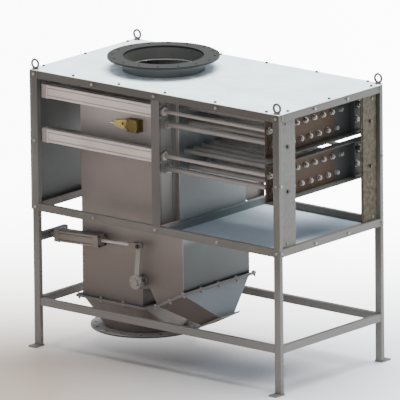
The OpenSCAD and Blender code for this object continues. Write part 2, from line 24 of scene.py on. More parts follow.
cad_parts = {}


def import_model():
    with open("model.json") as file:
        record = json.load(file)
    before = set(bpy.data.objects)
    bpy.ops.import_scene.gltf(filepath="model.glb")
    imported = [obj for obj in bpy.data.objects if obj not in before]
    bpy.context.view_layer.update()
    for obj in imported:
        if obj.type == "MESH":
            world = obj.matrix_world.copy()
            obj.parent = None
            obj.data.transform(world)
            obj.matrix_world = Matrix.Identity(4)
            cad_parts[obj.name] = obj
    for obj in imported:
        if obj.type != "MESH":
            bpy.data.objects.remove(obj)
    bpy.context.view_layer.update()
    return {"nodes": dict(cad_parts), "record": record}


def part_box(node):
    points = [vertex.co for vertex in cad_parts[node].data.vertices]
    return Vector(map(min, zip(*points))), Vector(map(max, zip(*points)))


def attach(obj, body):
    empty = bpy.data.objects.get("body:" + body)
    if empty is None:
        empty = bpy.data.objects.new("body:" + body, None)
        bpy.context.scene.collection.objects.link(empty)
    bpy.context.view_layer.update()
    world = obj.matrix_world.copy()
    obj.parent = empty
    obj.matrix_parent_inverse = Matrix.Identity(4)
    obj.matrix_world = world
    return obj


Socket = bpy.types.NodeSocket
Tree = bpy.types.NodeTree
Pair = tuple[float, float]
Shares = tuple[float, ...]
Colour = tuple[float, float, float, float]
# Height, radius and, for a hexagon, width over flats of each section of a turned piece
Sections = Sequence[tuple[float, ...]]
Row = list[bmesh.types.BMVert]

LOG = logging.getLogger("separator")
MM = 0.001
FRONT = Vector((0, -1, 0))
BACK = Vector((0, 1, 0))
LEFT = Vector((-1, 0, 0))
RIGHT = Vector((1, 0, 0))
UP = Vector((0, 0, 1))
DOWN = Vector((0, 0, -1))
# Stops of a finish's noise: between its two tones, its dull and glossy spots, and its specks
TONE_STOPS = 0.35, 0.7
SHEEN_STOPS = 0.3, 0.7
SPECK_STOPS = 0.42, 0.58
# Edges sharper than this stay sharp on the added pieces
SHARP_DEG = 32.0
# Radius of a hexagon's turned chamfer, as a share of its width over flats
CHAMFER = 0.47
# Broken edge of a washer, and height of the ring under a bolt's head
EDGE = 0.4
# Where a head's chamfer starts and a nut's two end, as shares of their heights
HEAD_BEVEL = 0.84
NUT_BEVELS = 0.12, 0.88
# Countersink of a nut and depth of a thread
SINK = 0.8
THREAD_DEEP = 0.5
# Rounded edge of a cap screw's head, and the break and mouth of its socket
CAP_EDGE = 0.6, 0.8
SOCKET_BREAK = 0.4, 0.3
SOCKET_MOUTH = 0.62
# Where a socket's flats and its cone end, as shares of the head's height
SOCKET_ENDS = 0.45, 0.3
# Ripples of a weld bead: length, swell of the radius and its phase from one to the next,
# narrowing towards the start, and where in its length each starts and ends
RIPPLE = 2.5
SWELL = 0.12
SWELL_PHASE = 2.4
NARROW = 0.8
RIPPLE_ENDS = 0.15, 0.85


def linear(colour: str) -> Colour:
    """Turns an sRGB hex colour to linear RGBA.

    Args:
        colour: six hex digits after a hash sign.

    Returns:
        Linear red, green, blue and an alpha of 1.
    """
    parts = [int(colour[i : i + 2], 16) / 255 for i in (1, 3, 5)]
    red, green, blue = (c / 12.92 if c <= 0.04045 else ((c + 0.055) / 1.055) ** 2.4 for c in parts)
    return red, green, blue, 1.0


def add_node(
    tree: Tree,
    kind: str,
    settings: Mapping[str, Any] | None = None,
    inputs: Mapping[str | int, Any] | None = None,
) -> bpy.types.Node:
    """Adds a node with its settings and links.

    Args:
        tree: the node tree it goes in.
        kind: the node's type.
        settings: its properties by name.
        inputs: a value or the socket it is linked from, by the input's name or number.

    Returns:
        The new node.
    """
    node = tree.nodes.new(kind)
    for key, value in (settings or {}).items():
        setattr(node, key, value)
    for key, value in (inputs or {}).items():
        if isinstance(value, Socket):
            tree.links.new(value, node.inputs[key])
        else:
            node.inputs[key].default_value = value
    return node


def mapped(
    tree: Tree, value: Socket, given: Pair, wanted: Pair = (0.0, 1.0), easing: str = "SMOOTHSTEP"
) -> Socket:
    """Maps a value from one range to another.

    Args:
        tree: the node tree.
        value: the value.
        given: the range that it is mapped from, either way round.
        wanted: the range that it is mapped to.
        easing: how it runs between the ends.

    Returns:
        The mapped value.
    """
    ends = {"From Min": given[0], "From Max": given[1], "To Min": wanted[0], "To Max": wanted[1]}
    settings = {"interpolation_type": easing}
    node = add_node(tree, "ShaderNodeMapRange", settings, {"Value": value, **ends})
    return node.outputs["Result"]


def mixed(tree: Tree, share: Socket, first: Socket | Colour, second: Socket | Colour) -> Socket:
    """Gives a mix of two colours, with the given share of the second."""
    inputs = {"Factor": share, 6: first, 7: second}
    return add_node(tree, "ShaderNodeMix", {"data_type": "RGBA"}, inputs).outputs[2]


def toned(tree: Tree, value: Socket, stops: Pair, colours: tuple[str, str]) -> Socket:
    """Turns a value to a colour between two stops.

    Args:
        tree: the node tree.
        value: the value.
        stops: the values of the stops.
        colours: their hex colours.

    Returns:
        The colour.
    """
    ramp = add_node(tree, "ShaderNodeValToRGB", inputs={"Fac": value})
    for element, stop, colour in zip(ramp.color_ramp.elements, stops, colours):
        element.position, element.color = stop, linear(colour)
    return ramp.outputs["Color"]


@dataclass(frozen=True)
class Shift:
    """A change of colour along one axis of the machine, from one place to another in mm.

    With facing set, it follows how far the surface faces that axis instead, from 0 to 1, and so
    paints light or shade on the faces that turn that way. With speck set, the colour after it is
    mottled with that second one.
    """

    axis: str
    start: float
    end: float
    colour: str
    facing: bool = False
    speck: str = ""

    def tint(self, tree: Tree, where: bpy.types.Node, clouds: Socket, colour: Socket) -> Socket:
        """Lets a colour change along the axis.

        Args:
            tree: the material's nodes.
            where: the node of its coordinates.
            clouds: the soft noise of the finish.
            colour: the colour before the change.

        Returns:
            The mixed colour.
        """
        unit = 1.0 if self.facing else MM
        source = where.outputs["Normal" if self.facing else "Object"]
        place = add_node(tree, "ShaderNodeSeparateXYZ", inputs={"Vector": source})
        share = mapped(tree, place.outputs[self.axis], (self.start * unit, self.end * unit))
        after: Socket | Colour = linear(self.colour)
        if self.speck:
            after = toned(tree, clouds, SPECK_STOPS, (self.colour, self.speck))
        return mixed(tree, share, colour, after)


@dataclass(frozen=True)
class Finish:
    """A surface finish as one Principled shader.

    The tone wanders between two colours in soft clouds, the sheen wanders with it, and the fine
    grain of the surface is a bump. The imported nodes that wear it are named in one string.
    """

    name: str
    colour: str
    second: str
    roughness: float
    roughness_spread: float = 0.08
    metallic: float = 0.0
    coat: float = 0.0
    gloss: float = 0.5
    cloud_mm: float = 180.0
    grain_mm: tuple[float, float, float] = (3.0, 3.0, 3.0)
    grain_depth_mm: float = 0.02
    shifts: tuple[Shift, ...] = ()
    nodes: str = ""

    def build(self) -> bpy.types.Material:
        """Makes the material.

        Returns:
            The material, ready for a slot.
        """
        made = bpy.data.materials.new(self.name)
        made.use_nodes = True
        tree = made.node_tree
        where = add_node(tree, "ShaderNodeTexCoord")
        spot = where.outputs["Object"]
        cloud_size = {"Vector": spot, "Scale": 1 / (self.cloud_mm * MM), "Detail": 5.0}
        clouds = add_node(tree, "ShaderNodeTexNoise", inputs=cloud_size).outputs["Fac"]
        colour = toned(tree, clouds, TONE_STOPS, (self.colour, self.second))
        for shift in self.shifts:
            colour = shift.tint(tree, where, clouds, colour)
        spread = self.roughness - self.roughness_spread, self.roughness + self.roughness_spread
        grain_size = {"Vector": spot, "Scale": tuple(1 / (size * MM) for size in self.grain_mm)}
        stretched = add_node(tree, "ShaderNodeMapping", inputs=grain_size).outputs["Vector"]
        fine = {"Vector": stretched, "Scale": 1.0, "Detail": 3.0}
        relief = {
            "Height": add_node(tree, "ShaderNodeTexNoise", inputs=fine).outputs["Fac"],
            "Distance": self.grain_depth_mm * MM,
            "Strength": 1.0,
        }
        shader = tree.nodes["Principled BSDF"]
        for key, value in (
            ("Metallic", self.metallic), ("Coat Weight", self.coat),
            ("Specular IOR Level", self.gloss),
        ):
            shader.inputs[key].default_value = value
        for key, source in (
            ("Base Color", colour),
            ("Roughness", mapped(tree, clouds, SHEEN_STOPS, spread, "LINEAR")),
            ("Normal", add_node(tree, "ShaderNodeBump", inputs=relief).outputs["Normal"]),
        ):
            tree.links.new(source, shader.inputs[key])
        return made


# Grain that runs up and down rolled sheet, and along a drawn profile
ROLLED: dict[str, Any] = {"grain_mm": (2.0, 2.0, 60.0), "grain_depth_mm": 0.01}
DRAWN: dict[str, Any] = {"grain_mm": (80.0, 1.2, 1.2), "grain_depth_mm": 0.01}


class Surface(Enum):
    """The machine's finishes, each named for what the real one is, some also for painted light."""

    # Powder coat on the tube frame: satin, with a faint orange peel; painted paler low down,
    # darker up high as shade under the cover, and darker on its upward faces as painted shade
    FRAME = Finish(
        "powder_coated_tube", "#57544f", "#5f5c57", 0.42, gloss=0.3,
        nodes=(
            "front_legs back_legs foot_plates lower_long_rails lower_end_rails "
            "middle_long_rails middle_end_rails top_long_rails top_end_rails duct_rims "
            "hopper_rim chute_rim reject_flange flap_bearings"
        ),
        shifts=(
            Shift("Z", 700.0, 350.0, "#6b6864"), Shift("Z", 900.0, 1380.0, "#45423e"),
            Shift("Z", 0.5, 0.9, "#4b4945", True),
        ),
    )
    # Lever and its hub: the same coat in a paler tone
    LEVER = Finish("pale_coated_casting", "#77736c", "#7f7b74", 0.42, nodes="flap_lever")
    # Cross rail inside the bay: the same coat, painted paler and bluer for the light on its top
    # face
    CROSS = Finish(
        "coated_rail_painted_light", "#68706f", "#707877", 0.45, gloss=0.3, nodes="middle_cross_rail"
    )
    # Outlet flange: the same coat, darker, with its upward faces painted pale for the light from
    # above
    RIM = Finish(
        "coated_flange_painted_lit_top", "#4a4744", "#52504c", 0.5, gloss=0.3, nodes="outlet_flange",
        shifts=(Shift("Z", 0.4, 0.7, "#a09b96", True),),
    )
    # The same coat on the folded dividers, painted darker for the bay's shade, and painted lighter
    # from the front divider's flange backward, for the light on that flange that faces right
    DIVIDER = Finish(
        "powder_coated_divider", "#45413d", "#4b4743", 0.5, nodes="front_divider back_divider",
        shifts=(Shift("Y", -378.0, -370.0, "#65625d"),),
    )
    # The same coat on the end strips, with mottled brown painted towards the back as a reflection
    # of brown surroundings
    STRIP = Finish(
        "powder_coated_strip", "#5e5d59", "#666560", 0.42, gloss=0.1, cloud_mm=22.0,
        nodes="right_end_strips", shifts=(Shift("Y", -100.0, 100.0, "#352d1e", speck="#494332"),),
    )
    # White powder coat on the cover sheet: glossier than the frame's, so that it mirrors softly
    COVER = Finish(
        "white_powder_coated_sheet", "#dbedf1", "#e4f5f8", 0.28, coat=0.3, nodes="top_cover"
    )
    # Stainless duct sheet as rolled: a soft mirror, its warm tone a painted reflection of warm
    # surroundings; painted paler high up against the shade of the cylinders and the cover, and
    # darker towards the bottom
    SHEET = Finish(
        "rolled_stainless_sheet", "#756d69", "#7d7571", 0.45, metallic=0.35, **ROLLED,
        nodes="duct_front_wall duct_back_wall duct_left_wall duct_saddle product_hopper",
        shifts=(Shift("Z", 1000.0, 1250.0, "#a6a09d"), Shift("Z", 640.0, 480.0, "#6a625d")),
    )
    # The duct's right wall: the same sheet, cool grey without the painted warm reflection; painted
    # lighter towards the back and just above the bay floor against the shade, and dark below that
    # floor as painted shade
    SHADED_SHEET = Finish(
        "stainless_sheet_painted_light_and_shade", "#484c4d", "#505455", 0.42, gloss=0.3, **ROLLED,
        nodes="duct_right_wall flap_blade",
        shifts=(
            Shift("Y", -200.0, 150.0, "#505456"), Shift("Z", 960.0, 760.0, "#84898a"),
            Shift("Z", 690.0, 600.0, "#343533"),
        ),
    )
    # Reject chute: warm brown on its front, its outer slope painted pale for the light on it
    CHUTE = Finish(
        "stainless_sheet_painted_lit_slope", "#5f5047", "#67584e", 0.42, gloss=0.3, **ROLLED,
        nodes="reject_chute", shifts=(Shift("X", 0.3, 0.5, "#7b7f81", True),),
    )
    # Bent end panel: dull sheet with a cool face, painted darker towards its top as shade under the
    # cover
    PANEL = Finish(
        "dull_steel_panel", "#5d6060", "#656868", 0.5, gloss=0.2, grain_mm=(40.0, 40.0, 2.0),
        grain_depth_mm=0.01, nodes="left_end_panel", shifts=(Shift("Z", 850.0, 1250.0, "#3a3936"),),
    )
    # Bay floor: galvanised sheet with a blue-grey cast, painted lighter towards its left and front
    # to offset the shade of the trays and the cover
    FLOOR_SHEET = Finish(
        "galvanised_sheet", "#616d77", "#69757f", 0.4, gloss=0.2, nodes="bay_floor",
        shifts=(Shift("X", 600.0, 300.0, "#a4b1ba"), Shift("Y", 100.0, -150.0, "#aebac3")),
    )
    # Inlet flange: black enamel over rolled steel
    DARK = Finish(
        "dark_enamelled_steel", "#1b1b1a", "#212120", 0.7, gloss=0.25, nodes="inlet_flange"
    )
    # Collar and actuator bracket: the same enamel in a lighter grey
    GREY_ENAMEL = Finish(
        "grey_enamelled_steel", "#494946", "#52524f", 0.5, nodes="inlet_collar actuator_bracket"
    )
    # Tray plate: hot-rolled steel, brown at the near end and dark grey towards the back as a
    # painted reflection of the surroundings, its upward faces painted paler for the light from
    # above
    TRAY = Finish(
        "steel_plate_painted_light", "#3c2d21", "#48372a", 0.65, gloss=0.2, nodes="upper_tray lower_tray",
        shifts=(Shift("Y", 135.0, 185.0, "#363736"), Shift("Z", 0.4, 0.7, "#50534d", True)),
    )
    # Drawn and anodised cylinder profile between darker cast caps: fine die lines along it; its
    # upward faces painted darker for the shade under the rails
    CYLINDER = Finish(
        "anodised_aluminium", "#b0a8a3", "#bab2ad", 0.38, metallic=0.4, **DRAWN,
        nodes="front_upper_cylinder front_lower_cylinder back_upper_cylinder back_lower_cylinder",
        shifts=(Shift("Z", 0.5, 0.9, "#736d69", True), Shift("X", -709.0, -711.0, "#8b827d")),
    )
    # Actuator's barrel: the same profile, grey anodised, its upward faces painted darker as shade
    BARREL = Finish(
        "grey_anodised_aluminium", "#67615a", "#6f6962", 0.42, metallic=0.2, **DRAWN,
        nodes="actuator_barrel", shifts=(Shift("Z", 0.5, 0.9, "#4c4743", True),),
    )
    # Piston rods: hard chrome under a film of oil, so that the highlight is broad
    CHROME = Finish(
        "oiled_chromed_steel", "#8d8682", "#98918d", 0.36, 0.04, metallic=0.35,
        nodes="upper_piston_rods lower_piston_rods",
    )
    # Actuator's rod: chromed steel up to its grey cast fork
    RAM = Finish(
        "chromed_rod_and_cast_fork", "#a8a19b", "#b0a9a3", 0.36, 0.04, metallic=0.4,
        nodes="actuator_rod", shifts=(Shift("X", -246.0, -244.0, "#6a635d"),),
    )
    # Guide rods, bushes and shaft: ground steel
    GROUND = Finish(
        "ground_steel", "#7e7975", "#88837f", 0.4, metallic=0.28,
        nodes="upper_guide_rods lower_guide_rods guide_bushes flap_shaft",
    )
    # Magnet cores and their tubes: brushed stainless with a dull sleeve
    CORE = Finish(
        "brushed_magnet_sleeve", "#7d7976", "#87837f", 0.4, metallic=0.3,
        nodes="upper_cores lower_cores upper_core_tubes lower_core_tubes",
    )
    # Vibrator: gold-anodised cast aluminium, its nozzle painted pale for the highlight on it
    GOLD = Finish(
        "gold_anodised_casting", "#5c4d1d", "#6f5f2b", 0.33, metallic=0.45, nodes="vibrator",
        shifts=(Shift("X", -268.0, -280.0, "#b3a45c"),),
    )
    # Bolts, nuts and washers: zinc plate, dulled
    ZINC = Finish("zinc_plated_steel", "#807d78", "#8e8b86", 0.36, metallic=0.6, cloud_mm=9.0)
    # Screws of the cover, the strips and the actuator: black oxide, oiled
    BLACK = Finish("blackened_steel", "#262524", "#302f2d", 0.38, metallic=0.5, cloud_mm=9.0)
    # Air fittings: nickel plate, brighter than the zinc
    NICKEL = Finish("nickel_plated_brass", "#d5d3ce", "#dedcd8", 0.2, 0.04, metallic=0.8)
    # Lifting eyes: drop-forged steel, tempered dark
    EYE = Finish(
        "forged_steel", "#4b4744", "#585450", 0.45, metallic=0.4, cloud_mm=20.0,
        nodes="lifting_eyes",
    )
    # Clamp bolt of the lever: bare steel gone brown
    RUST = Finish("browned_steel", "#4a3630", "#5c463d", 0.6, metallic=0.2, cloud_mm=6.0)
    # Weld beads under the frame's coat: coarse and uneven
    WELD = Finish(
        "coated_weld_bead", "#5c5956", "#67645f", 0.4, cloud_mm=12.0, grain_mm=(2.0, 2.0, 2.0),
        grain_depth_mm=0.3,
    )


# The nodes whose corners are rounded: tubes, known by the end of their names, and plates
TUBES = "_legs", "_rails", "_rail"
PLATES = (
    "top_cover foot_plates right_end_strips outlet_flange reject_flange flap_lever vibrator "
    "front_divider back_divider"
)


@cache
def paint(surface: Surface) -> bpy.types.Material:
    """Gives a finish's material, making it at its first use."""
    return surface.value.build()


@dataclass
class Dressing:
    """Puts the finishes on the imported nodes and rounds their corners."""

    tube_round: float = 5.0
    plate_round: float = 1.0
    weld_reach: float = 0.01
    corner_deg: float = 50.0

    def build(self, nodes: Mapping[str, bpy.types.Object]) -> None:
        """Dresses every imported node.

        Args:
            nodes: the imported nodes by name.
        """
        plain = set(nodes)
        for surface in Surface:
            for name in surface.value.nodes.split():
                piece = nodes[name]
                plain.remove(name)
                if not piece.material_slots:
                    piece.data.materials.append(paint(surface))
                for slot in piece.material_slots:
                    slot.material = paint(surface)
                if name.endswith(TUBES):
                    self.soften(piece, self.tube_round)
                elif name in PLATES.split():
                    self.soften(piece, self.plate_round)
        LOG.info("%d nodes dressed, without a finish: %s", len(nodes), sorted(plain))

    def soften(self, piece: bpy.types.Object, size: float) -> None:
        """Rounds a piece's sharp corners without a change to its mesh.

        Args:
            piece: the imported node.
            size: the corner's width in mm.
        """
        weld = piece.modifiers.new("weld", "WELD")
        weld.merge_threshold = self.weld_reach * MM
        soft = piece.modifiers.new("soft_corners", "BEVEL")
        soft.width = size * MM
        soft.segments = 2
        soft.limit_method = "ANGLE"
        soft.angle_limit = math.radians(self.corner_deg)
        soft.harden_normals = True


@dataclass
class Studio:
    """Pale floor that brightens far away, soft light and the camera."""

    azimuth: float = 39.75
    elevation: float = 14.31
    roll: float = -0.62
    lens: float = 1000.0
    view_width: float = 2.0
    clip: float = 10.0
    target: tuple[float, float, float] = (-0.045, 0.0, 0.786)
    floor_size: float = 500.0
    floor_sheen: float = 0.4
    left_tone: str = "#83776d"
    right_tone: str = "#c6cacd"
    tone_range: Pair = (-0.8, 0.9)
    glow_range: Pair = (-0.25, 3.5)
    glow: float = 10.0
    sky_tone: str = "#dfe8f8"
    sky_strength: float = 0.55

    def build(self) -> None:
        """Makes the floor, the lights, the world and the camera."""
        self.floor()
        self.sun("key_light", (173, 79), 13.0, 52)
        self.sun("side_light", (95, 45), 0.3, 50)
        self.sun("front_light", (10, 12), 1.2, 70)
        world = bpy.data.worlds.new("studio")
        bpy.context.scene.world = world
        world.use_nodes = True
        sky = world.node_tree.nodes["Background"]
        sky.inputs["Color"].default_value = linear(self.sky_tone)
        sky.inputs["Strength"].default_value = self.sky_strength
        self.camera()

    def floor(self) -> None:
        """Lays the floor: pale paint that glows more the farther it lies behind the machine, and is
        painted darker and warmer towards the left as shade.
        """
        half = self.floor_size / 2
        mesh = bpy.data.meshes.new("floor")
        corners = [(-half, -half, 0), (half, -half, 0), (half, half, 0), (-half, half, 0)]
        mesh.from_pydata(corners, [], [(0, 1, 2, 3)])
        floor = bpy.data.objects.new("floor", mesh)
        bpy.context.scene.collection.objects.link(floor)
        paint = bpy.data.materials.new("white_floor")
        paint.use_nodes = True
        tree = paint.node_tree
        shader = tree.nodes["Principled BSDF"]
        shader.inputs["Roughness"].default_value = self.floor_sheen
        shader.inputs["Emission Color"].default_value = linear("#ffffff")
        where = add_node(tree, "ShaderNodeTexCoord").outputs["Object"]
        turn = math.radians(self.azimuth)
        aside, away = (
            add_node(
                tree, "ShaderNodeVectorMath", {"operation": "DOT_PRODUCT"}, {0: where, 1: line}
            ).outputs["Value"]
            for line in (
                (math.cos(turn), math.sin(turn), 0), (-math.sin(turn), math.cos(turn), 0)
            )
        )
        share = mapped(tree, aside, self.tone_range, easing="LINEAR")
        colour = mixed(tree, share, linear(self.left_tone), linear(self.right_tone))
        glow = mapped(tree, away, self.glow_range, (0.0, self.glow))
        tree.links.new(colour, shader.inputs["Base Color"])
        tree.links.new(glow, shader.inputs["Emission Strength"])
        mesh.materials.append(paint)

    @staticmethod
    def sun(name: str, towards: Pair, strength: float, spread: float) -> None:
        """Adds a broad, soft light.

        Args:
            name: the light's name.
            towards: azimuth and elevation that it comes from, as for the camera.
            strength: its power.
            spread: the width of its disc in degrees.
        """
        data = bpy.data.lights.new(name, "SUN")
        data.energy = strength
        data.angle = math.radians(spread)
        lamp = bpy.data.objects.new(name, data)
        lamp.rotation_euler = math.radians(90 - towards[1]), 0, math.radians(towards[0])
        bpy.context.scene.collection.objects.link(lamp)

    def camera(self) -> None:
        """Places the camera."""
        data = bpy.data.cameras.new("camera")
        data.lens = self.lens
        distance = self.view_width * self.lens / data.sensor_width
        data.clip_end = self.clip * distance
        camera = bpy.data.objects.new("camera", data)
        place = Matrix.Translation(self.target)
        for angle, axis in ((self.azimuth, "Z"), (90 - self.elevation, "X"), (self.roll, "Z")):
            place = place @ Matrix.Rotation(math.radians(angle), 4, axis)
        camera.matrix_world = place @ Matrix.Translation((0, 0, distance))
        bpy.context.scene.collection.objects.link(camera)
        bpy.context.scene.camera = camera


@dataclass(frozen=True)
class Thread:
    """One metric thread and the standard pieces that go with it, in millimetres."""

    rod: float
    flats: float
    head: float
    nut: float
    washer: float
    washer_t: float
    cap: float
    socket: float

    def disc(self) -> Sections:
        """Gives the sections of a plain washer with a broken edge."""
        wide, top = self.washer / 2, self.washer_t
        return [(0.0, wide), (top - EDGE, wide), (top, wide - EDGE), (top, 0.0)]

    def hexagon(self) -> Sections:
        """Gives a bolt's hexagon head.

        Returns:
            The sections from the seat outward.
        """
        flats, top, bevel = self.flats, self.head, CHAMFER * self.flats
        foot = [(0.0, bevel), (EDGE, bevel), (EDGE, flats, flats)]
        return [*foot, (HEAD_BEVEL * top, flats, flats), (top, bevel, flats), (top, 0.0)]

    def nut_and_end(self, proud: float) -> Sections:
        """Gives the sections of a hexagon nut and of the thread that ends past it.

        Args:
            proud: how far the thread stands past the nut.

        Returns:
            The sections from the seat outward.
        """
        flats, top, rod, bevel = self.flats, self.nut, self.rod / 2, CHAMFER * self.flats
        sections = [(0.0, bevel, flats), *((share * top, flats, flats) for share in NUT_BEVELS)]
        sections += [(top, bevel, flats), (top, rod + SINK), (top - SINK, rod)]
        ridges = max(1, int(proud))
        for i in range(ridges):
            sections.append((top + proud * i / ridges, rod))
            sections.append((top + proud * (i + 0.5) / ridges, rod - THREAD_DEEP))
        return [*sections, (top + proud, rod - 2 * THREAD_DEEP), (top + proud, 0.0)]

    def socket_head(self) -> Sections:
        """Gives a cap screw's head with its hexagon socket.

        Returns:
            The sections from the seat outward.
        """
        wide, high, key = self.cap / 2, self.rod, self.socket
        down, inward = CAP_EDGE
        out, deep = SOCKET_BREAK
        flats_end, cone_end = SOCKET_ENDS
        outside = [(0.0, wide), (high - down, wide), (high, wide - inward)]
        mouth = [(high, SOCKET_MOUTH * key, key + out), (high - deep, key, key)]
        return [*outside, *mouth, (flats_end * high, key, key), (cone_end * high, 0.0)]


class Size(Enum):
    """Thread sizes used on the machine."""

    M5 = Thread(5, 8, 3.5, 4.7, 10, 1.0, 8.5, 4)
    M6 = Thread(6, 10, 4, 5.2, 12, 1.6, 10, 5)
    M8 = Thread(8, 13, 5.3, 6.8, 16, 1.6, 13, 6)
    M10 = Thread(10, 16, 6.4, 8.4, 20, 2.0, 16, 8)
    M12_WIDE = Thread(12, 22, 9, 11.0, 29, 2.5, 20, 10)
    M12_PLATE = Thread(12, 26, 9, 12.0, 36, 3.0, 20, 10)


# Heads of the cap screws
M5_CAP = Size.M5.value.socket_head()
M6_CAP = Size.M6.value.socket_head()


class Profile(Enum):
    """Turned pieces of one size, as sections from the seat outward."""

    # Push-in air fitting with its release collar
    PORT = (
        (0.0, 17.0, 17.0), (6.0, 17.0, 17.0), (6.6, 7.9), (15.0, 7.9), (16.0, 6.9), (16.0, 5.4),
        (18.0, 5.4), (18.0, 4.0), (10.0, 4.0), (10.0, 0.0),
    )
    # Air fitting of the vibrator, longer and with a raised sleeve
    INLET = (
        (0.0, 14.0, 16.0), (8.0, 14.0, 16.0), (8.6, 6.0), (20.9, 6.0), (22.8, 7.0), (34.96, 7.0),
        (36.48, 6.0), (36.48, 4.5), (38.0, 4.5), (38.0, 3.4), (30.4, 3.4), (30.4, 0.0),
    )
    # Mouth of the vibrator's nozzle, its dark bore and the plug below
    MOUTH = (0.0, 11.0), (3.0, 11.0), (4.0, 10.0), (4.0, 7.5), (1.0, 7.0)
    BORE = (1.0, 7.2), (1.0, 0.0)
    PLUG = (0.0, 9.0), (6.0, 9.0), (8.0, 7.0), (8.0, 0.0)
    # Cap on the lever's hub and the boss of its clamp
    HUB_CAP = (0.0, 19.0), (2.2, 19.0), (3.0, 18.0), (3.0, 8.0), (2.0, 7.0), (2.0, 0.0)
    BOSS = (0.0, 11.0), (5.0, 11.0), (6.0, 10.0), (6.0, 0.0)
    # Clip and end of the fork's pin, lock nut behind the fork, washer and ring of the rear pin
    PIN_END = (0.0, 11.0), (1.6, 11.0), (1.6, 7.5), (5.0, 7.5), (6.0, 6.5), (6.0, 0.0)
    LOCK_NUT = (0.0, 22.0, 22.0), (0.6, 24.0, 22.0), (3.2, 24.0, 22.0), (3.8, 10.6), (3.8, 8.2)
    SNAP_RING = (0.0, 12.0), (1.5, 12.0), (1.5, 9.6), (2.6, 9.6), (2.6, 8.0)
    # Collar with its washer under a lifting eye
    COLLAR = (
        (0.0, 17.0), (2.0, 17.0), (2.5, 16.5), (2.5, 13.0), (7.0, 12.0), (8.0, 10.5), (8.0, 5.0),
    )


